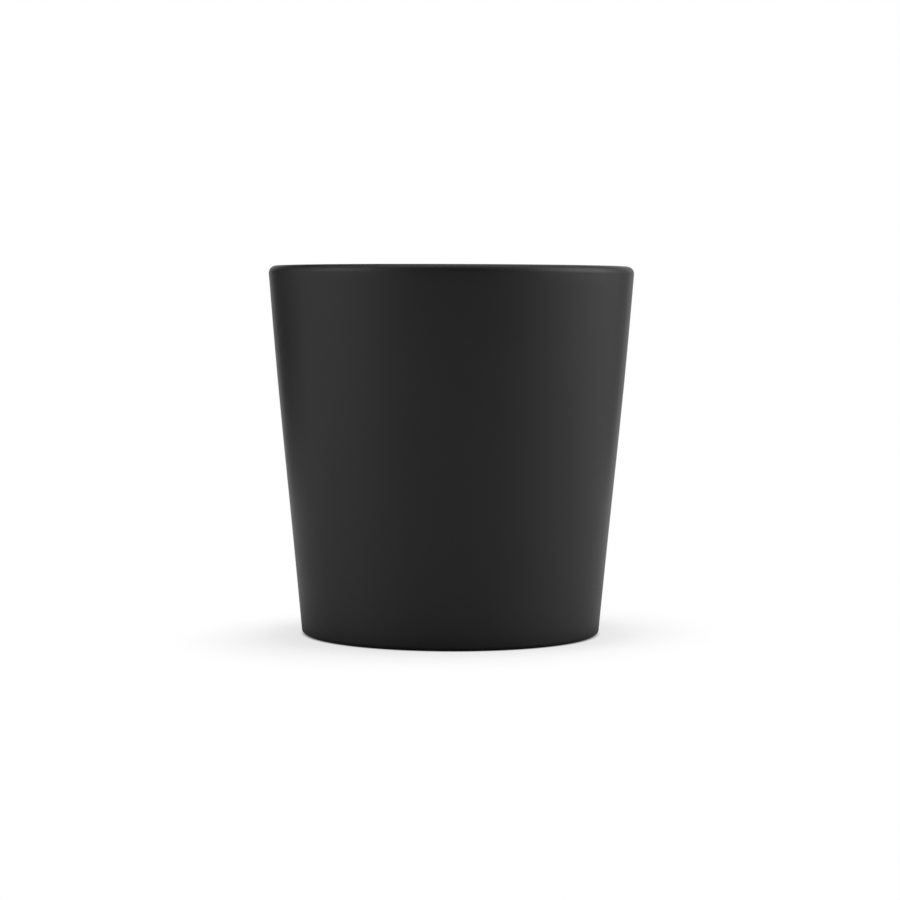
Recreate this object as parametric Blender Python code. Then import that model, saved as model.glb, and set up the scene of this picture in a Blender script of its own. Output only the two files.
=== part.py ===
"""A handleless stoneware mug: a fired clay body and the coats of glaze that are fused to it.

Metres, +Z up. The mug stands on the origin, and its axis is the Z axis.

Every piece is a section, a list of (radius, height) points, turned about the axis. Sizes are those of the
glazed mug. Each layer under its surface is the same section, inset towards the clay, so that coats and clay
stay in step.
"""

import math

import bmesh
import bpy

# Outside of the glazed mug
HEIGHT = 0.0885
RIM_DIAMETER = 0.0880  # where the wall's line meets the level of the lip
BASE_DIAMETER = 0.0714  # where the wall's line meets the table
WALL_SWELL = 0.00013  # how far the wall stands outside a straight cone, at half its height
WALL_SWAY = 0.00009  # how far it also fills out in its upper half and draws in below
FOOT_ROUND = 0.0008  # rounding on both shoulders of the foot

# Wall and floor, over the glaze
LIP_THICKNESS = 0.0034  # the lip is a full round of this thickness
WALL_FOOT_THICKNESS = 0.0050  # the wall thickens evenly down to this, at the level of the floor
FLOOR_THICKNESS = 0.0050
FLOOR_CORNER = 0.0090  # radius between the inside of the wall and the floor

# Foot ring and the hollow inside it
FOOT_WIDTH = 0.0052  # across the foot, over both glazed shoulders
RECESS_DEPTH = 0.0030  # from the table up to the glazed underside of the floor
RECESS_CORNER = 0.0013
RECESS_DRAFT = math.radians(12)
BARE_RING_STEP = 0.00025  # how far the bare ring reaches below the glaze, so that only clay meets the table
BARE_RING_EDGE = 0.00015  # its edges are sponged round before firing

# Glaze
GLAZE_THICKNESS = 0.0004
SEAT_GAP = 0.0003  # between a coat and the clay, or the bare ring, or the next coat
SEAM_DEPTH = 0.0045  # from the top of the lip down to where the outer coat meets the liner

# Fineness
AROUND = 60
WALL_STEPS = 4
LIP_STEPS = 8
CORNER_STEPS = 5
SHOULDER_STEPS = 3
EDGE_STEPS = 2
SHARP_ANGLE = math.radians(40)
POLE_MERGE = 0.000001  # joins the copies that turning makes of a point on the axis

# Finishes: colour and roughness
BARE_STONEWARE = ((0.34, 0.29, 0.23), 0.85)
MATTE_BLACK_GLAZE = ((0.016, 0.016, 0.017), 0.55)
SATIN_BLACK_LINER = ((0.012, 0.012, 0.013), 0.28)
MATTE_BLACK_RECESS_GLAZE = ((0.018, 0.018, 0.019), 0.60)

LIP_RADIUS = LIP_THICKNESS / 2
LIP_CENTRE_HEIGHT = HEIGHT - LIP_RADIUS
SHOULDER_HEIGHT = BARE_RING_STEP + FOOT_ROUND
FLOOR_HEIGHT = RECESS_DEPTH + FLOOR_THICKNESS
CORNER_HEIGHT = FLOOR_HEIGHT + FLOOR_CORNER
CLAY_INSET = GLAZE_THICKNESS + SEAT_GAP
COAT_END_ROUND = GLAZE_THICKNESS / 2
END_SETBACK = COAT_END_ROUND + SEAT_GAP  # from a coat's last square point to what it stops short of

OUT = 0.0
UP = math.pi / 2
IN = math.pi
DOWN = -math.pi / 2
DOWN_AGAIN = DOWN + math.tau


def arc(centre, radius, start, end, steps):
    """Points along an arc of the section, both ends included. A layer's inset can use the radius up."""
    kept = max(radius, 0.0)
    turns = [start + (end - start) * step / steps for step in range(steps + 1)]
    points = [(centre[0] + kept * math.cos(turn), centre[1] + kept * math.sin(turn)) for turn in turns]
    return points if kept > 0.0 else points[:1]


def between(low, high, steps):
    """Heights that divide a stretch evenly, without its two ends."""
    return [low + (high - low) * step / steps for step in range(1, steps)]


def outer_radius(height):
    """Radius of the outside of the wall."""
    share = height / HEIGHT
    cone = (BASE_DIAMETER + (RIM_DIAMETER - BASE_DIAMETER) * share) / 2
    return cone + WALL_SWELL * math.sin(math.pi * share) - WALL_SWAY * math.sin(math.tau * share)


def inner_radius(height):
    """Radius of the inside of the wall."""
    share = (height - FLOOR_HEIGHT) / (LIP_CENTRE_HEIGHT - FLOOR_HEIGHT)
    thickness = WALL_FOOT_THICKNESS + (LIP_THICKNESS - WALL_FOOT_THICKNESS) * share
    return outer_radius(height) - thickness / math.cos(lean(outer_radius, height))


def lean(radius_at, height):
    """Angle by which a side leans outwards at a height."""
    span = HEIGHT / 1000
    return math.atan2(radius_at(height + span) - radius_at(height - span), 2 * span)


def outer_wall(height, inset):
    """Point on the outside of the wall, or the inset below it."""
    return outer_radius(height) - inset / math.cos(lean(outer_radius, height)), height


def inner_wall(height, inset):
    """Point on the inside of the wall, or the inset behind it."""
    return inner_radius(height) + inset / math.cos(lean(inner_radius, height)), height


def outside(inset):
    """Section up the outside, from under the foot's outer shoulder to below the lip."""
    centre = outer_wall(SHOULDER_HEIGHT, FOOT_ROUND)
    end = OUT - lean(outer_radius, SHOULDER_HEIGHT)
    shoulder = arc(centre, FOOT_ROUND - inset, DOWN, end, SHOULDER_STEPS)
    heights = between(SHOULDER_HEIGHT, LIP_CENTRE_HEIGHT, WALL_STEPS)
    return shoulder + [outer_wall(height, inset) for height in heights]


def lip(inset):
    """Section over the lip, from the outside of the wall to the inside."""
    centre = outer_wall(LIP_CENTRE_HEIGHT, LIP_RADIUS)
    start = OUT - lean(outer_radius, LIP_CENTRE_HEIGHT)
    end = IN - lean(inner_radius, LIP_CENTRE_HEIGHT)
    return arc(centre, LIP_RADIUS - inset, start, end, LIP_STEPS)


def inside(inset, top):
    """Section down the inside, from below a height on the wall to the middle of the floor."""
    centre = inner_wall(CORNER_HEIGHT, -FLOOR_CORNER)
    start = OUT - lean(inner_radius, CORNER_HEIGHT)
    wall = [inner_wall(height, inset) for height in between(top, CORNER_HEIGHT, WALL_STEPS)]
    corner = arc(centre, FLOOR_CORNER + inset, start, DOWN, CORNER_STEPS)
    return wall + corner + [(0.0, FLOOR_HEIGHT - inset)]


def recess(inset):
    """Section of the hollow in the foot, from under the foot's inner shoulder to the axis."""
    # The corner of the hollow takes no more of its side than the foot's shoulder leaves
    room = (RECESS_DEPTH - BARE_RING_STEP) / (1 - math.sin(RECESS_DRAFT)) - FOOT_ROUND
    corner_round = min(RECESS_CORNER, room)
    shoulder_centre = (outer_wall(SHOULDER_HEIGHT, 0.0)[0] - FOOT_WIDTH + FOOT_ROUND, SHOULDER_HEIGHT)
    rise = RECESS_DEPTH - corner_round - SHOULDER_HEIGHT
    run = (FOOT_ROUND + corner_round) / math.cos(RECESS_DRAFT) + rise * math.tan(RECESS_DRAFT)
    corner_centre = (shoulder_centre[0] - run, RECESS_DEPTH - corner_round)
    shoulder = arc(shoulder_centre, FOOT_ROUND - inset, DOWN_AGAIN, IN + RECESS_DRAFT, SHOULDER_STEPS)
    corner = arc(corner_centre, corner_round + inset, OUT + RECESS_DRAFT, UP, SHOULDER_STEPS)
    return shoulder + corner + [(0.0, RECESS_DEPTH + inset)]


def bare_ring(inner, outer):
    """Section of the ring that the mug stands on, between the clay points at its inner and outer side."""
    inner_side = inner[0] + END_SETBACK
    outer_side = outer[0] - END_SETBACK
    inner_centre = (inner_side + BARE_RING_EDGE, BARE_RING_EDGE)
    outer_centre = (outer_side - BARE_RING_EDGE, BARE_RING_EDGE)
    inner_edge = arc(inner_centre, BARE_RING_EDGE, IN, DOWN_AGAIN, EDGE_STEPS)
    outer_edge = arc(outer_centre, BARE_RING_EDGE, DOWN, OUT, EDGE_STEPS)
    return [(inner_side, inner[1])] + inner_edge + outer_edge + [(outer_side, outer[1])]


def body_section():
    """The clay, from the axis under the floor, round the foot, over the lip and in to the axis again."""
    hollow = recess(CLAY_INSET)
    wall = outside(CLAY_INSET)
    underside = hollow[::-1] + bare_ring(hollow[0], wall[0])
    return underside + wall + lip(CLAY_INSET) + inside(CLAY_INSET, LIP_CENTRE_HEIGHT)


def coat_end(face, back):
    """The rounded end of a coat, as the one point that stands out between its face and its back."""
    across = (back[0] - face[0], back[1] - face[1])
    middle = ((face[0] + back[0]) / 2, (face[1] + back[1]) / 2)
    return [(middle[0] + across[1] / 2, middle[1] - across[0] / 2)]


def outer_coat_section():
    """A closed section: up the face, over the lip to the seam, and back along the clay."""
    seam = HEIGHT - SEAM_DEPTH + END_SETBACK - SEAT_GAP / 2
    face = outside(0.0) + lip(0.0) + [inner_wall(seam, 0.0)]
    back = outside(GLAZE_THICKNESS) + lip(GLAZE_THICKNESS) + [inner_wall(seam, GLAZE_THICKNESS)]
    return face + coat_end(face[-1], back[-1]) + back[::-1] + coat_end(back[0], face[0])


def coat_to_axis(face, back):
    """A section from the axis behind a coat, round its end and along its face to the axis again."""
    return back[::-1] + coat_end(back[0], face[0]) + face


def liner_section():
    seam = HEIGHT - SEAM_DEPTH - END_SETBACK + SEAT_GAP / 2
    face, back = [[inner_wall(seam, inset)] + inside(inset, seam) for inset in (0.0, GLAZE_THICKNESS)]
    return coat_to_axis(face, back)


def recess_coat_section():
    return coat_to_axis(recess(0.0), recess(GLAZE_THICKNESS))


def turned(section):
    """A mesh made by turning a section about the Z axis. A section that starts off the axis is closed."""
    shape = bmesh.new()
    points = [shape.verts.new((radius, 0.0, height)) for radius, height in section]
    pairs = list(zip(points, points[1:]))
    if section[0][0] > 0.0:
        pairs.append((points[-1], points[0]))
    profile = points + [shape.edges.new(pair) for pair in pairs]
    axis = (0.0, 0.0, 1.0)
    bmesh.ops.spin(shape, geom=profile, axis=axis, angle=math.tau, steps=AROUND, use_merge=True)
    bmesh.ops.remove_doubles(shape, verts=shape.verts, dist=POLE_MERGE)
    bmesh.ops.recalc_face_normals(shape, faces=shape.faces)
    mesh = bpy.data.meshes.new("turned")
    shape.to_mesh(mesh)
    shape.free()
    mesh.shade_smooth()
    mesh.set_sharp_from_angle(angle=SHARP_ANGLE)
    return mesh


def finish(name, look):
    colour, roughness = look
    material = bpy.data.materials.new(name)
    material.use_nodes = True
    material.diffuse_color = (*colour, 1.0)
    shader = material.node_tree.nodes["Principled BSDF"]
    shader.inputs["Base Color"].default_value = (*colour, 1.0)
    shader.inputs["Roughness"].default_value = roughness
    shader.inputs["Metallic"].default_value = 0.0
    return material


def piece(name, section, material, whole):
    """One separate solid of the mug, which moves with the whole."""
    mesh = turned(section)
    mesh.name = name
    mesh.materials.append(material)
    made = bpy.data.objects.new(name, mesh)
    made.parent = whole
    bpy.context.scene.collection.objects.link(made)


def main():
    for old in list(bpy.data.objects):
        bpy.data.objects.remove(old)
    mug = bpy.data.objects.new("mug", None)
    mug.empty_display_size = HEIGHT
    bpy.context.scene.collection.objects.link(mug)

    piece("stoneware_body", body_section(), finish("bare_stoneware", BARE_STONEWARE), mug)
    piece("outer_glaze", outer_coat_section(), finish("matte_black_glaze", MATTE_BLACK_GLAZE), mug)
    piece("liner_glaze", liner_section(), finish("satin_black_liner", SATIN_BLACK_LINER), mug)
    recess_finish = finish("matte_black_recess_glaze", MATTE_BLACK_RECESS_GLAZE)
    piece("foot_recess_glaze", recess_coat_section(), recess_finish, mug)


main()
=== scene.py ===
import math
from collections import namedtuple

import bmesh
import bpy
from bpy.props import FloatProperty, FloatVectorProperty, IntProperty, PointerProperty
from mathutils import Euler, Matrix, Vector


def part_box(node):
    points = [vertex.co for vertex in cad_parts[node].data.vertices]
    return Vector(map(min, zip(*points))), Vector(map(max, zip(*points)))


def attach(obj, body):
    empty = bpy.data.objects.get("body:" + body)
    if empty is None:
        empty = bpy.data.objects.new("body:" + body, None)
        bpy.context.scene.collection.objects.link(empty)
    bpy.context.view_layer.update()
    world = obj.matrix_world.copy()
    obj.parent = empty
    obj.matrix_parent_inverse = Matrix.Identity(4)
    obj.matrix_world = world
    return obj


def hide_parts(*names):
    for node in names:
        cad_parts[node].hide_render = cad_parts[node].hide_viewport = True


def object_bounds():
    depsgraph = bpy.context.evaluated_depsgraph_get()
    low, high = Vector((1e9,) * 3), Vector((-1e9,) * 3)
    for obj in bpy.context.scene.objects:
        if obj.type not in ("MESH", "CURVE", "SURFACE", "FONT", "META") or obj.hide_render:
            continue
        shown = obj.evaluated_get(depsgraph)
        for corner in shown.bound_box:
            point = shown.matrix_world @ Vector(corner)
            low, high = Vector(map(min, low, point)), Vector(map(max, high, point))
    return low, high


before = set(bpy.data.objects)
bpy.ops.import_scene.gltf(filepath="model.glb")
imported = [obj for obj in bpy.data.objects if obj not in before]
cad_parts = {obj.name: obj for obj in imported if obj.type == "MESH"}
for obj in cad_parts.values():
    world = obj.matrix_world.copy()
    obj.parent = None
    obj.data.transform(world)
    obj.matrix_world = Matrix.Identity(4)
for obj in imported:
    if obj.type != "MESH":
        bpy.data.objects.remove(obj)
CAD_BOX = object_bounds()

bl_info = {
    "name": "Handleless Mug",
    "version": (1, 0, 0),
    "blender": (4, 5, 0),
    "location": "3D View > Sidebar > Mug",
    "description": "Makes the glazes and the bare foot of a handleless stoneware mug, and its studio",
    "category": "Add Mesh",
}

CAD_LOW, CAD_HIGH = CAD_BOX
GLAZE_THICKNESS = 0.0004

# Ways in the section, as angles that grow from outwards over upwards to inwards.
OUT = 0.0
UP = math.pi / 2
IN = math.pi
DOWN = -math.pi / 2
DOWN_AGAIN = DOWN + math.tau

# Points nearer together than this are one.
MERGE = 0.000001

# The values between which a noise in space and one along a line are stretched into masks.
NOISE_SPAN = (0.3, 0.7)
LINE_SPAN = (0.35, 0.65)

BLACK = (0.0, 0.0, 0.0, 1.0)
WHITE = (1.0, 1.0, 1.0, 1.0)

# The camera shows nothing that is nearer to it than this.
CLIP_START = 0.01

# The floor is a disc, which lies this far below the foot.
FLOOR_RADIUS = 3.0
FLOOR_SIDES = 96
FLOOR_GAP = 0.00002

# A lamp or a card: its width and height, its place, and the point that it faces.
Board = namedtuple("Board", "size place aim")
MUG_MIDDLE = (0.0, 0.0, 0.044)
SOFTBOXES = {
    "left": Board((0.73, 0.61), (-0.93, -0.36, 0.51), MUG_MIDDLE),
    "right": Board((0.87, 0.75), (1.0, 0.0, 0.53), MUG_MIDDLE),
    "overhead": Board((0.90, 0.12), (0.0, 0.165, 1.09), MUG_MIDDLE),
}
DARK_CARDS = {
    "front_card": Board((1.20, 0.85), (0.0, -0.505, 0.355), (0.0, 0.0, 0.0)),
    "left_card": Board((0.20, 0.55), (-0.235, 0.173, 0.275), (-0.04, 0.0, 0.275)),
    "high_card": Board((0.34, 0.36), (-0.20, 0.45, 0.47), (0.0, 0.0, 0.088)),
    "right_card": Board((0.087, 0.66), (0.218, 0.205, 0.33), (0.04, 0.0, 0.33)),
}


class MugSizes(bpy.types.PropertyGroup):
    """Sizes of the glazed mug"""

    height: FloatProperty(
        name="Height", description="From the table to the top of the lip",
        default=CAD_HIGH.z, unit="LENGTH",
    )
    width: FloatProperty(
        name="Width", description="Across the widest place, just under the lip",
        default=CAD_HIGH.x - CAD_LOW.x, unit="LENGTH",
    )
    slope: FloatProperty(
        name="Slope", description="How far the wall leans outwards, on average",
        default=math.radians(5.28), subtype="ANGLE",
    )
    swell: FloatProperty(
        name="Swell", description="How far the wall stands outside a straight cone at half its height",
        default=0.00020, unit="LENGTH", precision=5,
    )
    sway: FloatProperty(
        name="Sway", description="How far the wall fills out in its upper half and draws in below",
        default=0.00009, unit="LENGTH", precision=5,
    )
    lip_thickness: FloatProperty(
        name="Lip", description="Thickness of the wall at the lip, which is a full round",
        default=0.0034, unit="LENGTH", precision=4,
    )
    foot_thickness: FloatProperty(
        name="Wall at the floor", description="Thickness of the wall at the level of the floor",
        default=0.0050, unit="LENGTH", precision=4,
    )
    floor_level: FloatProperty(
        name="Floor", description="From the table to the inside of the floor",
        default=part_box("liner_glaze")[0].z + GLAZE_THICKNESS, unit="LENGTH", precision=4,
    )
    floor_corner: FloatProperty(
        name="Floor corner", description="Radius between the inside of the wall and the floor",
        default=0.0090, unit="LENGTH", precision=4,
    )
    foot_width: FloatProperty(
        name="Foot", description="Across the foot, over both glazed shoulders",
        default=0.0052, unit="LENGTH", precision=4,
    )
    foot_round: FloatProperty(
        name="Foot rounding", description="Radius of both shoulders of the foot",
        default=0.0008, unit="LENGTH", precision=4,
    )
    ring_step: FloatProperty(
        name="Bare ring step", description="How far the bare ring reaches below the glaze",
        default=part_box("outer_glaze")[0].z, unit="LENGTH", precision=5,
    )
    ring_margin: FloatProperty(
        name="Bare ring margin", description="From the middle of each shoulder of the foot to the bare ring",
        default=0.0005, unit="LENGTH", precision=5,
    )
    ring_edge: FloatProperty(
        name="Bare ring edge", description="Radius of the sponged edges of the bare ring",
        default=0.00015, unit="LENGTH", precision=5,
    )
    recess_depth: FloatProperty(
        name="Hollow", description="From the table up to the glazed underside of the floor",
        default=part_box("foot_recess_glaze")[1].z - GLAZE_THICKNESS, unit="LENGTH", precision=4,
    )
    recess_corner: FloatProperty(
        name="Hollow corner", description="Radius between the side and the top of the hollow",
        default=0.0013, unit="LENGTH", precision=4,
    )
    recess_draft: FloatProperty(
        name="Hollow draft", description="How far the side of the hollow leans",
        default=math.radians(12), subtype="ANGLE",
    )
    glaze: FloatProperty(
        name="Glaze", description="Thickness of each coat of glaze",
        default=GLAZE_THICKNESS, unit="LENGTH", precision=5,
    )
    seam_depth: FloatProperty(
        name="Seam", description="From the top of the lip down to where the outer coat meets the liner",
        default=0.0045, unit="LENGTH", precision=4,
    )
    seam_step: FloatProperty(
        name="Seam step", description="How far the liner lies behind the outer coat at the seam",
        default=0.00008, unit="LENGTH", precision=5,
    )
    around: IntProperty(name="Around", description="Faces round the mug", default=256, min=3)
    quarter: IntProperty(
        name="Rounding", description="Faces in a quarter turn of a rounding", default=8, min=1
    )
    longest: FloatProperty(
        name="Longest face", description="Longest face along a straight stretch of the section",
        default=0.003, unit="LENGTH", precision=4,
    )


class MugColours(bpy.types.PropertyGroup):
    """Colours of the clay and the glazes"""

    glaze: FloatVectorProperty(
        name="Outer glaze", description="Matte black coat outside", subtype="COLOR",
        default=(0.0088, 0.0088, 0.0091), min=0.0, max=1.0,
    )
    liner: FloatVectorProperty(
        name="Liner", description="Satin black coat inside", subtype="COLOR",
        default=(0.0085, 0.0085, 0.0090), min=0.0, max=1.0,
    )
    thin_glaze: FloatVectorProperty(
        name="Thin glaze", description="Where the glaze runs out over the clay", subtype="COLOR",
        default=(0.045, 0.030, 0.021), min=0.0, max=1.0,
    )
    clay: FloatVectorProperty(
        name="Clay", description="Fired clay", subtype="COLOR",
        default=(0.34, 0.28, 0.21), min=0.0, max=1.0,
    )
    toast: FloatVectorProperty(
        name="Toasted clay", description="Clay that the kiln toasted beside the glaze", subtype="COLOR",
        default=(0.26, 0.15, 0.085), min=0.0, max=1.0,
    )
    speck: FloatVectorProperty(
        name="Specks", description="Iron specks in the clay", subtype="COLOR",
        default=(0.10, 0.065, 0.045), min=0.0, max=1.0,
    )


class MugFinish(bpy.types.PropertyGroup):
    """Sheen of the clay and the glazes"""

    outer_roughness: FloatProperty(
        name="Outer roughness", description="Roughness of the matte coat outside", default=0.49
    )
    outer_specular: FloatProperty(
        name="Outer specular", description="Specular level of the coats outside and underneath",
        default=0.225,
    )
    skin: FloatProperty(
        name="Skin", description="How much of the matte coat outside has a thin smooth skin", default=0.2
    )
    skin_roughness: FloatProperty(
        name="Skin roughness", description="Roughness of the thin smooth skin", default=0.24
    )
    skin_refraction: FloatProperty(
        name="Skin refraction", description="Index of refraction, so low that only the mug's rims shine",
        default=1.1,
    )
    liner_roughness: FloatProperty(
        name="Liner roughness", description="Roughness of the satin coat inside", default=0.30
    )
    liner_specular: FloatProperty(
        name="Liner specular", description="Specular level of the satin coat inside", default=0.35
    )
    recess_roughness: FloatProperty(
        name="Hollow roughness", description="Roughness of the coat in the hollow", default=0.54
    )
    clay_roughness: FloatProperty(
        name="Clay roughness", description="Roughness of the bare ring", default=0.84
    )
    clay_specular: FloatProperty(
        name="Clay specular", description="Specular level of the bare ring", default=0.3
    )


class MugStudio(bpy.types.PropertyGroup):
    """Camera and light"""

    distance: FloatProperty(
        name="Distance", description="From the mug's axis to the camera, level",
        default=0.63914, unit="LENGTH",
    )
    eye_height: FloatProperty(
        name="Camera height", description="Of the camera above the table", default=0.08019, unit="LENGTH"
    )
    aside: FloatProperty(
        name="Aside", description="Of the camera to the left of the mug's axis",
        default=0.00021, unit="LENGTH", precision=5,
    )
    pitch: FloatProperty(
        name="Pitch", description="How far the camera looks down", default=0.0562, subtype="ANGLE"
    )
    roll: FloatProperty(
        name="Roll", description="How far the camera is turned about its line of sight",
        default=0.0032, subtype="ANGLE",
    )
    lens: FloatProperty(name="Lens", description="Focal length in millimetres", default=106.05)
    room: FloatProperty(name="Room", description="Strength of the light from all around", default=0.40)
    left: FloatProperty(
        name="Left softbox", description="Power in watts", default=5.6, unit="POWER"
    )
    right: FloatProperty(
        name="Right softbox", description="Power in watts", default=9.6, unit="POWER"
    )
    overhead: FloatProperty(
        name="Overhead softbox", description="Power in watts", default=2.0, unit="POWER"
    )
    floor: FloatProperty(
        name="Floor", description="Share of the light that the floor throws back", default=0.8
    )
    # Painted shade: the floor's own colour, as bounce light and reflections see it, is made darker right at
    # the foot.
    foot_shade: FloatProperty(
        name="Foot shade", description="Share of that light that is left right at the foot", default=0.4
    )
    foot_shade_reach: FloatVectorProperty(
        name="Foot shade reach", description="Distances from the axis between which the foot shade runs out",
        size=2, default=(0.036, 0.048), unit="LENGTH", precision=4,
    )
    shade: FloatProperty(
        name="Shade", description="How strongly the floor shows the mug's shadow in the picture",
        default=0.24,
    )
    lift: FloatProperty(
        name="Lift", description="White that the picture adds to the floor round the foot", default=0.72
    )
    # Painted shadow: the white added to the floor is lowered by this much right at the foot, and the
    # lowering runs out between the two distances below.
    painted_shadow: FloatProperty(
        name="Deepening", description="How much less white there is right at the foot", default=0.055
    )
    painted_shadow_reach: FloatVectorProperty(
        name="Halo", description="Distances from the axis between which the deepening runs out",
        size=2, default=(0.0365, 0.051), unit="LENGTH", precision=4,
    )
    contact: FloatVectorProperty(
        name="Contact", description="Distances from the axis between which the lift sets in",
        size=2, default=(0.0345, 0.0365), unit="LENGTH", precision=4,
    )
    run_out: FloatVectorProperty(
        name="Run-out", description="Distances from the axis between which the shadow runs out to white",
        size=2, default=(0.037, 0.069), unit="LENGTH", precision=4,
    )
    askew: FloatProperty(
        name="Askew", description="How much nearer to the camera the shadow lies, per length to the left",
        default=0.18,
    )
    forward: FloatProperty(
        name="Forward", description="How much nearer to the camera than the mug the shadow lies",
        default=0.005, unit="LENGTH", precision=4,
    )
    mirrored: FloatVectorProperty(
        name="Mirrored run-out", description="The distances of the run-out as reflections show them",
        size=2, default=(0.058, 0.145), unit="LENGTH", precision=4,
    )
    mirrored_aside: FloatProperty(
        name="Mirrored aside", description="Share of a distance beside the mug that reflections count",
        default=0.55,
    )
    mirrored_behind: FloatProperty(
        name="Mirrored behind", description="Share of a distance behind the mug that reflections count",
        default=0.5,
    )


# A bend of the section: the centre of its rounding, the rounding's radius, and the angles at which the
# surface faces where the bend starts and ends. A hollow rounding has a negative radius, and a plain point
# has none.
Bend = namedtuple("Bend", "across height round start end")


class Outline:
    """The bends of the glazed mug, in the order in which they are met with the clay on the left."""

    def __init__(self, sizes):
        self.sizes = sizes
        lip_round = sizes.lip_thickness / 2
        lip_level = sizes.height - lip_round
        shoulder_level = sizes.ring_step + sizes.foot_round
        corner_level = sizes.floor_level + sizes.floor_corner
        self.lip_level = lip_level
        self.lip_across = sizes.width / 2 - lip_round - belly(sizes, lip_level)
        thinning = (sizes.foot_thickness - sizes.lip_thickness) / (lip_level - sizes.floor_level)
        self.inner_slope = math.atan(math.tan(sizes.slope) + thinning / math.cos(sizes.slope))

        shoulder_across = self.outer(shoulder_level) - sizes.foot_round / math.cos(sizes.slope)
        inner_shoulder_across = self.outer(shoulder_level) - sizes.foot_width + sizes.foot_round
        recess_level = sizes.recess_depth - sizes.recess_corner
        reach = (sizes.foot_round + sizes.recess_corner) / math.cos(sizes.recess_draft)
        reach += (recess_level - shoulder_level) * math.tan(sizes.recess_draft)
        side = IN + sizes.recess_draft

        self.underside = Bend(0.0, sizes.recess_depth, 0.0, DOWN, DOWN)
        self.recess_corner = Bend(
            inner_shoulder_across - reach, recess_level, -sizes.recess_corner, DOWN_AGAIN, side
        )
        self.inner_shoulder = Bend(
            inner_shoulder_across, shoulder_level, sizes.foot_round, side, DOWN_AGAIN
        )
        self.shoulder = Bend(shoulder_across, shoulder_level, sizes.foot_round, DOWN, OUT - sizes.slope)
        self.lip = Bend(self.lip_across, lip_level, lip_round, OUT - sizes.slope, IN - self.inner_slope)
        self.floor_corner = Bend(
            self.inner(corner_level) - sizes.floor_corner / math.cos(self.inner_slope), corner_level,
            -sizes.floor_corner, IN - self.inner_slope, UP,
        )
        self.floor = Bend(0.0, sizes.floor_level, 0.0, UP, UP)
        self.ring_sides = inner_shoulder_across + sizes.ring_margin, shoulder_across - sizes.ring_margin

    def outer(self, height):
        """Distance from the axis to the outside of the wall, before the wall gets its belly."""
        lip_face = self.lip_across + self.sizes.lip_thickness / 2 / math.cos(self.sizes.slope)
        return lip_face + (height - self.lip_level) * math.tan(self.sizes.slope)

    def inner(self, height):
        """Distance from the axis to the inside of the wall, before the wall gets its belly."""
        lip_face = self.lip_across - self.sizes.lip_thickness / 2 / math.cos(self.inner_slope)
        return lip_face + (height - self.lip_level) * math.tan(self.inner_slope)

    def seam(self, depth):
        """A point on the inside of the wall, this far below the top of the lip."""
        height = self.sizes.height - depth
        facing = IN - self.inner_slope
        return Bend(self.inner(height), height, 0.0, facing, facing)


def belly(sizes, height):
    """How far the wall stands outside a straight cone at a height."""
    turn = math.pi * height / sizes.height
    return sizes.swell * math.sin(turn) - sizes.sway * math.sin(2 * turn)


def inset(bends, depth):
    """The same bends, this far below the surface."""
    return [bend._replace(round=bend.round - depth) for bend in bends]


def backwards(bends):
    """The same bends, met from the other end."""
    return [bend._replace(start=bend.end, end=bend.start) for bend in reversed(bends)]


def rounded_end(bend, facing, thickness, start):
    """The round end of a coat, from a point on its face that faces the given way."""
    centre = place(bend, facing) - way(facing) * thickness / 2
    return Bend(centre.x, centre.z, thickness / 2, start, start + math.pi)


def coat(bends, thickness, starts_at_axis=False, ends_at_axis=False):
    """Bends round a coat of glaze: its face, its round ends and its clay side, open only at the axis."""
    first, last = bends[0], bends[-1]
    face = list(bends)
    if not ends_at_axis:
        face.append(rounded_end(last, last.end, thickness, last.end))
    back = backwards(inset(bends, thickness))
    if not starts_at_axis:
        back.append(rounded_end(first, first.start, thickness, first.start - math.pi))
    return back + face if ends_at_axis else face + back


def way(angle):
    """The direction of an angle of the section."""
    return Vector((math.cos(angle), 0.0, math.sin(angle)))


def place(bend, angle):
    """Where on a bend the surface faces this way."""
    return Vector((bend.across, 0.0, bend.height)) + way(angle) * bend.round


def drawn(bends, sizes):
    """Draws a section, its bends joined by straight lines, into a new bmesh."""
    shape = bmesh.new()
    pen = None
    for bend in bends:
        point = place(bend, bend.start)
        if pen is None:
            pen = shape.verts.new(point)
        else:
            pen = bmesh.ops.extrude_vert_indiv(shape, verts=[pen])["verts"][0]
            pen.co = point
        turn = bend.end - bend.start
        if turn and bend.round:
            steps = max(1, round(abs(turn) / UP * sizes.quarter))
            arc = bmesh.ops.spin(
                shape, geom=[pen], cent=(bend.across, 0.0, bend.height), axis=(0.0, -1.0, 0.0),
                angle=turn, steps=steps,
            )
            pen = [part for part in arc["geom_last"] if isinstance(part, bmesh.types.BMVert)][0]
    return shape


def made(name, shape):
    """An object whose mesh is this bmesh, not yet in the scene."""
    mesh = bpy.data.meshes.new(name)
    shape.to_mesh(mesh)
    shape.free()
    return bpy.data.objects.new(name, mesh)


def turned(name, bends, sizes, closed=False):
    """Turns a section about the mug's axis and makes it an object."""
    shape = drawn(bends, sizes)
    shape.verts.ensure_lookup_table()
    if closed:
        shape.edges.new((shape.verts[-1], shape.verts[0]))
    for edge in list(shape.edges):
        cuts = int(edge.calc_length() / sizes.longest)
        if cuts:
            bmesh.ops.subdivide_edges(shape, edges=[edge], cuts=cuts)
    bmesh.ops.remove_doubles(shape, verts=shape.verts, dist=MERGE)
    for vert in shape.verts:
        if vert.co.x > MERGE:
            vert.co.x += belly(sizes, vert.co.z)
    bmesh.ops.spin(
        shape, geom=shape.verts[:] + shape.edges[:], axis=(0.0, 0.0, 1.0), angle=math.tau,
        steps=sizes.around, use_merge=True,
    )
    bmesh.ops.remove_doubles(shape, verts=shape.verts, dist=MERGE)
    bmesh.ops.recalc_face_normals(shape, faces=shape.faces)
    piece = made(name, shape)
    piece.data.shade_smooth()
    bpy.context.scene.collection.objects.link(piece)
    return piece


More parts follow.
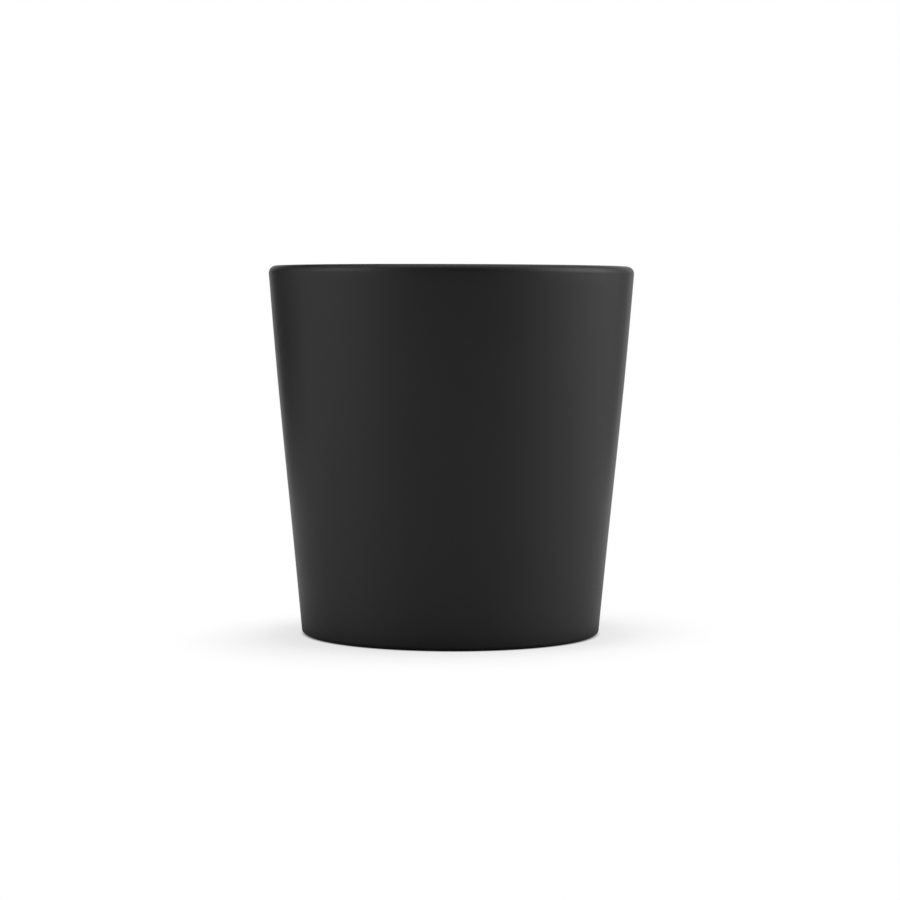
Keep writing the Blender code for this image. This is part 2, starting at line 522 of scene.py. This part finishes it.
def fitted(piece, node, paint, outline):
    """Paints a piece and lets it stand for its CAD node."""
    scene = bpy.context.scene
    piece.data.materials.append(paint(scene.mug_colours, scene.mug_finish, outline))
    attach(piece, "root")
    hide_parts(node)


def give(tree, socket, value):
    """Links a socket to an input, or sets the input to a value."""
    if isinstance(value, bpy.types.NodeSocket):
        tree.links.new(value, socket)
    else:
        socket.default_value = value


def maths(tree, operation, *values):
    """The result of one step of arithmetic."""
    node = tree.nodes.new("ShaderNodeMath")
    node.operation = operation
    for socket, value in zip(node.inputs, values):
        give(tree, socket, value)
    return node.outputs["Value"]


def ranged(tree, value, start, end, low=0.0, high=1.0, smooth=False):
    """Maps a value from start..end to low..high and no further."""
    node = tree.nodes.new("ShaderNodeMapRange")
    node.interpolation_type = "SMOOTHSTEP" if smooth else "LINEAR"
    numbers = {"Value": value, "From Min": start, "From Max": end, "To Min": low, "To Max": high}
    for name, number in numbers.items():
        give(tree, node.inputs[name], number)
    return node.outputs["Result"]


def fading(tree, value, start, end):
    """One up to the start, nothing from the end on, and a smooth change between them."""
    return ranged(tree, value, start, end, low=1.0, high=0.0, smooth=True)


def mixed(tree, factor, first, second):
    """The first colour where the factor is nothing, and the second where it is one."""
    node = tree.nodes.new("ShaderNodeMix")
    node.data_type = "RGBA"
    inputs = {socket.identifier: socket for socket in node.inputs}
    give(tree, inputs["Factor_Float"], factor)
    give(tree, inputs["A_Color"], first)
    give(tree, inputs["B_Color"], second)
    return [socket for socket in node.outputs if socket.identifier == "Result_Color"][0]


def mixed_value(tree, factor, first, second):
    """The first value where the factor is nothing, and the second where it is one."""
    node = tree.nodes.new("ShaderNodeMix")
    for socket, value in zip(node.inputs[:1] + node.inputs[2:4], (factor, first, second)):
        give(tree, socket, value)
    return node.outputs[0]


def noise(tree, vector, size, detail=2.0, roughness=0.5):
    """Noise with features of about this size in metres."""
    node = tree.nodes.new("ShaderNodeTexNoise")
    give(tree, node.inputs["Vector"], vector)
    give(tree, node.inputs["Scale"], maths(tree, "DIVIDE", 1.0, size))
    node.inputs["Detail"].default_value = detail
    node.inputs["Roughness"].default_value = roughness
    return node.outputs["Fac"]


def parts(tree, vector):
    """The three parts of a vector."""
    node = tree.nodes.new("ShaderNodeSeparateXYZ")
    tree.links.new(vector, node.inputs["Vector"])
    return node.outputs


def level_vector(tree, across, back):
    """A level vector with these two parts."""
    node = tree.nodes.new("ShaderNodeCombineXYZ")
    tree.links.new(across, node.inputs["X"])
    tree.links.new(back, node.inputs["Y"])
    return node.outputs["Vector"]


def from_axis(tree, vector):
    """Distance from the mug's axis."""
    level = tree.nodes.new("ShaderNodeVectorMath")
    level.operation = "MULTIPLY"
    level.inputs[1].default_value = (1.0, 1.0, 0.0)
    tree.links.new(vector, level.inputs[0])
    length = tree.nodes.new("ShaderNodeVectorMath")
    length.operation = "LENGTH"
    tree.links.new(level.outputs["Vector"], length.inputs[0])
    return length.outputs["Value"]


def node_group(name, inputs, outputs):
    """A new shader node group, with its input and output nodes."""
    group = bpy.data.node_groups.new(name, "ShaderNodeTree")
    for direction, sockets in (("INPUT", inputs), ("OUTPUT", outputs)):
        for socket, kind in sockets.items():
            group.interface.new_socket(socket, in_out=direction, socket_type=f"NodeSocket{kind}")
    return group, group.nodes.new("NodeGroupInput").outputs, group.nodes.new("NodeGroupOutput").inputs


def fired_surface(name):
    """Node group: the grain, the soft ripple and the clouds of anything that comes out of a kiln."""
    lengths = ("Grain Size", "Grain Depth", "Ripple Size", "Ripple Depth", "Cloud Size")
    group, given, result = node_group(
        name, {"Coordinates": "Vector"} | dict.fromkeys(lengths, "Float"),
        dict.fromkeys(("Height", "Grain", "Cloud"), "Float"),
    )
    coordinates = given["Coordinates"]
    grain = noise(group, coordinates, given["Grain Size"], detail=3.0, roughness=0.6)
    ripple = noise(group, coordinates, given["Ripple Size"], detail=1.0, roughness=0.3)
    cloud = noise(group, coordinates, given["Cloud Size"], detail=2.0, roughness=0.4)
    grain_height = maths(group, "MULTIPLY", grain, given["Grain Depth"])
    height = maths(group, "MULTIPLY_ADD", ripple, given["Ripple Depth"], grain_height)
    group.links.new(height, result["Height"])
    group.links.new(ranged(group, grain, *NOISE_SPAN), result["Grain"])
    group.links.new(ranged(group, cloud, *NOISE_SPAN, smooth=True), result["Cloud"])
    return group


def bare_ring_distance(name):
    """Node group: distance to the bare ring under the foot, measured across it, with a wavering edge."""
    group, given, result = node_group(
        name,
        {"Coordinates": "Vector", "Ring Middle": "Float", "Ring Width": "Float", "Waver": "Float"},
        {"Distance": "Float"},
    )
    coordinates = given["Coordinates"]
    across = maths(group, "SUBTRACT", from_axis(group, coordinates), given["Ring Middle"])
    beyond = maths(group, "MULTIPLY_ADD", given["Ring Width"], -0.5, maths(group, "ABSOLUTE", across))
    uneven = maths(group, "SUBTRACT", noise(group, coordinates, size=0.0022, detail=3.0), 0.5)
    group.links.new(maths(group, "MULTIPLY_ADD", uneven, given["Waver"], beyond), result["Distance"])
    return group


def turning_rings(name):
    """Node group: faint rings left by a tool, a brush or a sponge on the turning pot."""
    group, given, result = node_group(
        name, {"Coordinates": "Vector", "Spacing": "Float", "Depth": "Float"},
        {"Height": "Float", "Ring": "Float"},
    )
    coordinates = given["Coordinates"]
    wander = 0.002
    along = maths(group, "ADD", from_axis(group, coordinates), parts(group, coordinates)["Z"])
    bent = maths(group, "MULTIPLY_ADD", noise(group, coordinates, size=0.03, detail=1.0), wander, along)
    line = group.nodes.new("ShaderNodeTexNoise")
    line.noise_dimensions = "1D"
    line.inputs["Scale"].default_value = 1.0
    line.inputs["Detail"].default_value = 2.0
    group.links.new(maths(group, "DIVIDE", bent, given["Spacing"]), line.inputs["W"])
    group.links.new(maths(group, "MULTIPLY", line.outputs["Fac"], given["Depth"]), result["Height"])
    group.links.new(ranged(group, line.outputs["Fac"], *LINE_SPAN), result["Ring"])
    return group


SHARED_EFFECTS = {
    "Fired Surface": fired_surface,
    "Bare Ring Distance": bare_ring_distance,
    "Turning Rings": turning_rings,
}


def placed(tree, effect, **values):
    """Places a shared effect, built on its first use, and gives its inputs their links and values."""
    node = tree.nodes.new("ShaderNodeGroup")
    node.node_tree = bpy.data.node_groups.get(effect) or SHARED_EFFECTS[effect](effect)
    for name, value in values.items():
        give(tree, node.inputs[name.replace("_", " ").title()], value)
    return node.outputs


def new_material(name, specular):
    """A material with only its shader, and the object's coordinates to paint by."""
    material = bpy.data.materials.new(name)
    material.use_nodes = True
    tree = material.node_tree
    shader = tree.nodes["Principled BSDF"]
    shader.inputs["Specular IOR Level"].default_value = specular
    coordinates = tree.nodes.new("ShaderNodeTexCoord").outputs["Object"]
    return material, tree, shader.inputs, coordinates


def painted(tree, shader, colour, roughness, relief):
    """Gives a shader its colour, its roughness and its relief in metres."""
    bump = tree.nodes.new("ShaderNodeBump")
    bump.inputs["Strength"].default_value = 1.0
    bump.inputs["Distance"].default_value = 1.0
    tree.links.new(relief, bump.inputs["Height"])
    tree.links.new(colour, shader["Base Color"])
    tree.links.new(roughness, shader["Roughness"])
    tree.links.new(bump.outputs["Normal"], shader["Normal"])


def opaque(colour, light=1.0):
    """A colour made darker or lighter, as a shader takes it."""
    return (*(part * light for part in colour), 1.0)


def shaded(tree, mask, colour, darkest, lightest):
    """A colour that gets lighter as the mask rises."""
    return mixed(tree, mask, opaque(colour, darkest), opaque(colour, lightest))


def washed(tree, mask, share, under, over):
    """A colour with another laid over it where the mask is one, at most by this share."""
    return mixed(tree, maths(tree, "MULTIPLY", mask, share), under, over)


def spread(tree, mask, roughness, below, above):
    """A roughness that the mask moves from this much below its value to this much above it."""
    return ranged(tree, mask, 0.0, 1.0, roughness - below, roughness + above)


def raised(tree, value, mask, by):
    """A value, raised by this much where the mask is one."""
    return maths(tree, "MULTIPLY_ADD", mask, by, value)


def ring_around(tree, coordinates, outline, waver):
    """Distance to the bare ring of this mug."""
    inner, outer = outline.ring_sides
    return placed(
        tree, "Bare Ring Distance", coordinates=coordinates, ring_middle=(inner + outer) / 2,
        ring_width=outer - inner, waver=waver,
    )["Distance"]


def outer_glaze_material(colours, finish, outline):
    """Even matte black, which thins to brown only where it ends at the bare ring."""
    material, tree, shader, coordinates = new_material("matte_black_glaze", finish.outer_specular)
    shader["Coat Weight"].default_value = finish.skin
    shader["Coat Roughness"].default_value = finish.skin_roughness
    shader["Coat IOR"].default_value = finish.skin_refraction
    surface = placed(
        tree, "Fired Surface", coordinates=coordinates, grain_size=0.0004, grain_depth=0.000012,
        ripple_size=0.009, ripple_depth=0.00003, cloud_size=0.016,
    )
    even = shaded(tree, surface["Cloud"], colours.glaze, darkest=0.92, lightest=1.08)
    grained = washed(tree, surface["Grain"], share=0.35, under=even, over=opaque(colours.glaze, light=1.2))
    thin = fading(tree, ring_around(tree, coordinates, outline, waver=0.0006), start=0.0001, end=0.0005)
    colour = mixed(tree, thin, grained, opaque(colours.thin_glaze))
    clouded = spread(tree, surface["Cloud"], finish.outer_roughness, below=0.02, above=0.02)
    rough = raised(tree, clouded, surface["Grain"], by=0.03)
    painted(tree, shader, colour, raised(tree, rough, thin, by=0.12), surface["Height"])
    return material


def liner_material(colours, finish, outline):
    """Satin black, a little deeper and smoother where it pooled on the floor."""
    material, tree, shader, coordinates = new_material("satin_black_liner", finish.liner_specular)
    surface = placed(
        tree, "Fired Surface", coordinates=coordinates, grain_size=0.0006, grain_depth=0.0000015,
        ripple_size=0.007, ripple_depth=0.00004, cloud_size=0.012,
    )
    rings = placed(tree, "Turning Rings", coordinates=coordinates, spacing=0.0035, depth=0.00002)
    floor = outline.sizes.floor_level
    pool = fading(tree, parts(tree, coordinates)["Z"], start=floor, end=floor + outline.sizes.floor_corner)
    even = shaded(tree, surface["Cloud"], colours.liner, darkest=0.9, lightest=1.15)
    ringed = washed(tree, rings["Ring"], share=0.25, under=even, over=opaque(colours.liner, light=1.5))
    colour = washed(tree, pool, share=0.5, under=ringed, over=opaque(colours.liner, light=0.7))
    clouded = spread(tree, surface["Cloud"], finish.liner_roughness, below=0.02, above=0.03)
    rough = raised(tree, clouded, surface["Grain"], by=0.02)
    relief = maths(tree, "ADD", surface["Height"], rings["Height"])
    painted(tree, shader, colour, raised(tree, rough, pool, by=-0.04), relief)
    return material


def recess_material(colours, finish, outline):
    """Matte black, brushed on a little unevenly while the pot turned, and brown at its edge."""
    material, tree, shader, coordinates = new_material("matte_black_recess_glaze", finish.outer_specular)
    surface = placed(
        tree, "Fired Surface", coordinates=coordinates, grain_size=0.0004, grain_depth=0.000006,
        ripple_size=0.005, ripple_depth=0.00003, cloud_size=0.008,
    )
    rings = placed(tree, "Turning Rings", coordinates=coordinates, spacing=0.0016, depth=0.000025)
    patchy = maths(tree, "MULTIPLY", surface["Cloud"], rings["Ring"])
    even = shaded(tree, patchy, colours.glaze, darkest=1.0, lightest=1.7)
    streaky = washed(tree, patchy, share=0.18, under=even, over=opaque(colours.thin_glaze))
    thin = fading(tree, ring_around(tree, coordinates, outline, waver=0.0009), start=0.0003, end=0.0012)
    colour = mixed(tree, thin, streaky, opaque(colours.thin_glaze))
    rough = spread(tree, patchy, finish.recess_roughness, below=0.0, above=0.08)
    relief = maths(tree, "ADD", surface["Height"], rings["Height"])
    painted(tree, shader, colour, raised(tree, rough, thin, by=0.1), relief)
    return material


def specks(tree, coordinates):
    """One inside the iron specks, which lie in the middle of some cells of a pattern."""
    cell_size = 0.0011
    cells = tree.nodes.new("ShaderNodeTexVoronoi")
    cells.inputs["Scale"].default_value = 1 / cell_size
    tree.links.new(coordinates, cells.inputs["Vector"])
    chosen = tree.nodes.new("ShaderNodeSeparateColor")
    tree.links.new(cells.outputs["Color"], chosen.inputs["Color"])
    reach = ranged(tree, chosen.outputs["Red"], start=0.6, end=1.0, low=0.0, high=0.3)
    inside = maths(tree, "SUBTRACT", reach, cells.outputs["Distance"])
    return ranged(tree, inside, start=0.0, end=0.06)


def clay_material(colours, finish, outline):
    """Sandy fired clay with iron specks, toasted beside the glaze and rubbed where it stands, with painted
    shade on the flank of the bare ring.
    """
    material, tree, shader, coordinates = new_material("bare_stoneware", finish.clay_specular)
    surface = placed(
        tree, "Fired Surface", coordinates=coordinates, grain_size=0.00022, grain_depth=0.00004,
        ripple_size=0.0025, ripple_depth=0.00002, cloud_size=0.005,
    )
    rings = placed(tree, "Turning Rings", coordinates=coordinates, spacing=0.0005, depth=0.00001)
    even = shaded(tree, surface["Cloud"], colours.clay, darkest=0.9, lightest=1.08)
    sandy = washed(tree, surface["Grain"], share=0.8, under=even, over=opaque(colours.clay, light=0.66))
    ring = ring_around(tree, coordinates, outline, waver=0.0005)
    toast = ranged(tree, ring, start=-0.0007, end=-0.0001, high=0.75, smooth=True)
    toasted = mixed(tree, toast, sandy, opaque(colours.toast))
    speck = specks(tree, coordinates)
    speckled = mixed(tree, speck, toasted, opaque(colours.speck))
    # Painted shade: the flank of the bare ring, where the foot meets the table, is painted nearly as black
    # as the glaze.
    painted_contact_shade = ranged(tree, ring, start=-0.00025, end=-0.00005, smooth=True)
    colour = mixed(tree, painted_contact_shade, speckled, opaque(colours.glaze, light=1.3))
    rubbed = fading(tree, ring, start=-0.0009, end=-0.0004)
    grainy = spread(tree, surface["Grain"], finish.clay_roughness, below=0.06, above=0.06)
    ground = raised(tree, grainy, rubbed, by=-0.14)
    relief = maths(tree, "ADD", surface["Height"], rings["Height"])
    flattened = maths(tree, "MULTIPLY", relief, ranged(tree, rubbed, 0.0, 1.0, low=1.0, high=0.45))
    painted(tree, shader, colour, raised(tree, ground, speck, by=-0.2), flattened)
    return material


class MUG_OT_stoneware_body(bpy.types.Operator):
    """Makes the fired clay, of which the ring under the foot stays bare"""

    bl_idname = "mug.stoneware_body"
    bl_label = "Stoneware Body"

    def execute(self, context):
        sizes = context.scene.mug_sizes
        outline = Outline(sizes)
        ring_top = sizes.ring_step + sizes.glaze
        inner_side, outer_side = outline.ring_sides
        ring = [
            Bend(inner_side, ring_top, 0.0, IN, IN),
            Bend(inner_side + sizes.ring_edge, sizes.ring_edge, sizes.ring_edge, IN, DOWN_AGAIN),
            Bend(outer_side - sizes.ring_edge, sizes.ring_edge, sizes.ring_edge, DOWN, OUT),
            Bend(outer_side, ring_top, 0.0, OUT, OUT),
        ]
        hollow = inset([outline.underside, outline.recess_corner, outline.inner_shoulder], sizes.glaze)
        rest = inset([outline.shoulder, outline.lip, outline.floor_corner, outline.floor], sizes.glaze)
        piece = turned("fired_clay", hollow + ring + rest, sizes)
        fitted(piece, "stoneware_body", clay_material, outline)
        return {"FINISHED"}


class MUG_OT_outer_glaze(bpy.types.Operator):
    """Makes the matte coat, from the bare ring up the wall and over the lip to the seam"""

    bl_idname = "mug.outer_glaze"
    bl_label = "Outer Glaze"

    def execute(self, context):
        sizes = context.scene.mug_sizes
        outline = Outline(sizes)
        edge = sizes.glaze / 2
        ring_side = outline.ring_sides[1]
        start = Bend(ring_side + edge, sizes.ring_step, 0.0, DOWN, DOWN)
        bends = [start, outline.shoulder, outline.lip, outline.seam(sizes.seam_depth - edge)]
        piece = turned("matte_outer_glaze", coat(bends, sizes.glaze), sizes, closed=True)
        fitted(piece, "outer_glaze", outer_glaze_material, outline)
        return {"FINISHED"}


class MUG_OT_liner_glaze(bpy.types.Operator):
    """Makes the smoother coat inside, from the seam to the middle of the floor"""

    bl_idname = "mug.liner_glaze"
    bl_label = "Liner Glaze"

    def execute(self, context):
        sizes = context.scene.mug_sizes
        outline = Outline(sizes)
        thickness = sizes.glaze - sizes.seam_step
        bends = [outline.seam(sizes.seam_depth + thickness / 2), outline.floor_corner, outline.floor]
        section = coat(inset(bends, sizes.seam_step), thickness, ends_at_axis=True)
        piece = turned("satin_liner_glaze", section, sizes)
        fitted(piece, "liner_glaze", liner_material, outline)
        return {"FINISHED"}


class MUG_OT_recess_glaze(bpy.types.Operator):
    """Makes the coat in the hollow of the foot, up to the bare ring"""

    bl_idname = "mug.recess_glaze"
    bl_label = "Foot Recess Glaze"

    def execute(self, context):
        sizes = context.scene.mug_sizes
        outline = Outline(sizes)
        ring_side = outline.ring_sides[0]
        end = Bend(ring_side - sizes.glaze / 2, sizes.ring_step, 0.0, DOWN_AGAIN, DOWN_AGAIN)
        bends = [outline.underside, outline.recess_corner, outline.inner_shoulder, end]
        piece = turned("hollow_glaze", coat(bends, sizes.glaze, starts_at_axis=True), sizes)
        fitted(piece, "foot_recess_glaze", recess_material, outline)
        return {"FINISHED"}


def put(piece, board):
    """Puts a lamp or a card in its place, with its front towards its aim."""
    piece.location = board.place
    towards = Vector(board.aim) - Vector(board.place)
    piece.rotation_euler = towards.to_track_quat("-Z", "Y").to_euler()
    bpy.context.scene.collection.objects.link(piece)


def softbox(name, power, board):
    """A large rectangular lamp."""
    light = bpy.data.lights.new(name, "AREA")
    light.shape = "RECTANGLE"
    light.size, light.size_y = board.size
    light.energy = power
    lamp = bpy.data.objects.new(name, light)
    lamp.visible_camera = False
    put(lamp, board)


def dark_card(name, board, material):
    """A dark card out of the picture, which only reflections see."""
    shape = bmesh.new()
    bmesh.ops.create_grid(shape, x_segments=1, y_segments=1, size=0.5)
    bmesh.ops.scale(shape, vec=(*board.size, 1.0), verts=shape.verts)
    card = made(name, shape)
    card.data.materials.append(material)
    card.visible_camera = False
    card.visible_diffuse = False
    card.visible_shadow = False
    put(card, board)


def dark_material():
    """Black with no gloss at all."""
    material = bpy.data.materials.new("dark_card")
    material.use_nodes = True
    shader = material.node_tree.nodes["Principled BSDF"]
    shader.inputs["Base Color"].default_value = BLACK
    shader.inputs["Specular IOR Level"].default_value = 0.0
    return material


def seen_rays(tree):
    """One where a camera, glossy or transmission ray meets the surface, else nothing."""
    rays = tree.nodes.new("ShaderNodeLightPath").outputs
    camera_or_glossy = maths(tree, "MAXIMUM", rays["Is Camera Ray"], rays["Is Glossy Ray"])
    return maths(tree, "MAXIMUM", camera_or_glossy, rays["Is Transmission Ray"])


def shadow_distance(tree, coordinates, studio):
    """Distance from the middle of the shadow that the camera sees, which lies askew and forward."""
    ways = parts(tree, coordinates)
    askew = maths(tree, "MULTIPLY_ADD", ways["X"], -studio.askew, ways["Y"])
    return from_axis(tree, level_vector(tree, ways["X"], maths(tree, "ADD", askew, studio.forward)))


def mirrored_distance(tree, coordinates, studio):
    """Distance from the mug's axis as reflections count it, which is less beside the mug and behind it."""
    ways = parts(tree, coordinates)
    behind = maths(tree, "MAXIMUM", ways["Y"], 0.0)
    back = maths(tree, "MULTIPLY_ADD", behind, studio.mirrored_behind - 1.0, ways["Y"])
    across = maths(tree, "MULTIPLY", ways["X"], studio.mirrored_aside)
    return from_axis(tree, level_vector(tree, across, back))


def floor_material(studio):
    """Pale, with real and painted shadow near the foot, and further out as white as the backdrop where it is
    seen.
    """
    material = bpy.data.materials.new("pale_floor")
    material.use_nodes = True
    tree = material.node_tree
    tree.nodes.clear()
    coordinates = tree.nodes.new("ShaderNodeTexCoord").outputs["Object"]
    away = from_axis(tree, coordinates)
    camera = tree.nodes.new("ShaderNodeLightPath").outputs["Is Camera Ray"]
    run_out = mixed_value(
        tree, camera,
        ranged(tree, mirrored_distance(tree, coordinates, studio), *studio.mirrored, smooth=True),
        ranged(tree, shadow_distance(tree, coordinates, studio), *studio.run_out, smooth=True),
    )
    white = maths(tree, "MULTIPLY", run_out, seen_rays(tree))
    # Painted shade: the floor's colour for bounce light and reflections is darker right at the foot.
    floor_at_foot = studio.floor * studio.foot_shade
    painted_shade_floor = ranged(tree, away, *studio.foot_shade_reach, low=floor_at_foot, high=studio.floor, smooth=True)
    pale = mixed_value(tree, camera, painted_shade_floor, studio.shade)
    # Painted shadow: close round the foot the added white is lower, so the floor there is painted darker.
    lift_in_painted_shadow = studio.lift - studio.painted_shadow
    lift_with_painted_shadow = ranged(tree, away, *studio.painted_shadow_reach, low=lift_in_painted_shadow, high=studio.lift, smooth=True)
    outside_foot = ranged(tree, away, *studio.contact, high=lift_with_painted_shadow, smooth=True)
    lift = maths(tree, "MULTIPLY", camera, outside_foot)
    diffuse = tree.nodes.new("ShaderNodeBsdfDiffuse")
    tree.links.new(mixed_value(tree, white, pale, 0.0), diffuse.inputs["Color"])
    glow = tree.nodes.new("ShaderNodeEmission")
    tree.links.new(mixed_value(tree, white, lift, 1.0), glow.inputs["Strength"])
    add = tree.nodes.new("ShaderNodeAddShader")
    output = tree.nodes.new("ShaderNodeOutputMaterial")
    tree.links.new(diffuse.outputs["BSDF"], add.inputs[0])
    tree.links.new(glow.outputs["Emission"], add.inputs[1])
    tree.links.new(add.outputs["Shader"], output.inputs["Surface"])
    return material


class MUG_OT_studio(bpy.types.Operator):
    """Sets the camera, the pale floor and the soft light round the mug"""

    bl_idname = "mug.studio"
    bl_label = "Studio"

    def execute(self, context):
        scene = context.scene
        studio = scene.mug_studio
        self.camera(scene, studio)
        self.floor(scene, studio)
        self.world(scene, studio)
        for name, board in SOFTBOXES.items():
            softbox(f"{name}_softbox", getattr(studio, name), board)
        dark = dark_material()
        for name, board in DARK_CARDS.items():
            dark_card(name, board, dark)
        scene.view_settings.view_transform = "Standard"
        return {"FINISHED"}

    def camera(self, scene, studio):
        """A camera in front of the mug, a little below the level of its lip."""
        camera = bpy.data.objects.new("camera", bpy.data.cameras.new("camera"))
        camera.data.lens = studio.lens
        camera.data.clip_start = CLIP_START
        camera.location = (-studio.aside, -studio.distance, studio.eye_height)
        aim = Euler((math.radians(90) - studio.pitch, 0.0, 0.0)).to_quaternion()
        camera.rotation_mode = "QUATERNION"
        camera.rotation_quaternion = aim @ Euler((0.0, 0.0, studio.roll)).to_quaternion()
        scene.collection.objects.link(camera)
        scene.camera = camera

    def floor(self, scene, studio):
        """A pale floor that keeps the mug's shadow near the foot and runs out to white."""
        shape = bmesh.new()
        bmesh.ops.create_circle(shape, cap_ends=True, segments=FLOOR_SIDES, radius=FLOOR_RADIUS)
        floor = made("floor", shape)
        floor.location.z = -FLOOR_GAP
        floor.data.materials.append(floor_material(studio))
        scene.collection.objects.link(floor)

    def world(self, scene, studio):
        """A backdrop that is white where it is seen, and softer as a light."""
        world = bpy.data.worlds.new("studio")
        world.use_nodes = True
        scene.world = world
        tree = world.node_tree
        background = tree.nodes["Background"]
        background.inputs["Color"].default_value = WHITE
        strength = maths(tree, "MULTIPLY_ADD", seen_rays(tree), 1.0 - studio.room, studio.room)
        tree.links.new(strength, background.inputs["Strength"])


class MUG_PT_mug(bpy.types.Panel):
    """Lists the mug's pieces and its studio"""

    bl_idname = "MUG_PT_mug"
    bl_label = "Mug"
    bl_space_type = "VIEW_3D"
    bl_region_type = "UI"
    bl_category = "Mug"

    def draw(self, context):
        for maker in MAKERS:
            self.layout.operator(maker.bl_idname)
        for group in SETTINGS:
            settings = getattr(context.scene, group)
            box = self.layout.box()
            for prop in settings.bl_rna.properties:
                if prop.identifier not in ("rna_type", "name"):
                    box.prop(settings, prop.identifier)


MAKERS = (
    MUG_OT_stoneware_body,
    MUG_OT_outer_glaze,
    MUG_OT_liner_glaze,
    MUG_OT_recess_glaze,
    MUG_OT_studio,
)
SETTINGS = {
    "mug_sizes": MugSizes,
    "mug_colours": MugColours,
    "mug_finish": MugFinish,
    "mug_studio": MugStudio,
}
CLASSES = (*SETTINGS.values(), *MAKERS, MUG_PT_mug)


def register():
    """Makes the classes and the scene's settings known to Blender."""
    for kind in CLASSES:
        bpy.utils.register_class(kind)
    for name, group in SETTINGS.items():
        setattr(bpy.types.Scene, name, PointerProperty(type=group))


def unregister():
    """Takes the settings and the classes out again."""
    for name in SETTINGS:
        delattr(bpy.types.Scene, name)
    for kind in reversed(CLASSES):
        bpy.utils.unregister_class(kind)


def main():
    """Makes every piece and the studio."""
    register()
    bpy.ops.mug.stoneware_body()
    bpy.ops.mug.outer_glaze()
    bpy.ops.mug.liner_glaze()
    bpy.ops.mug.recess_glaze()
    bpy.ops.mug.studio()


if __name__ == "__main__":
    main()
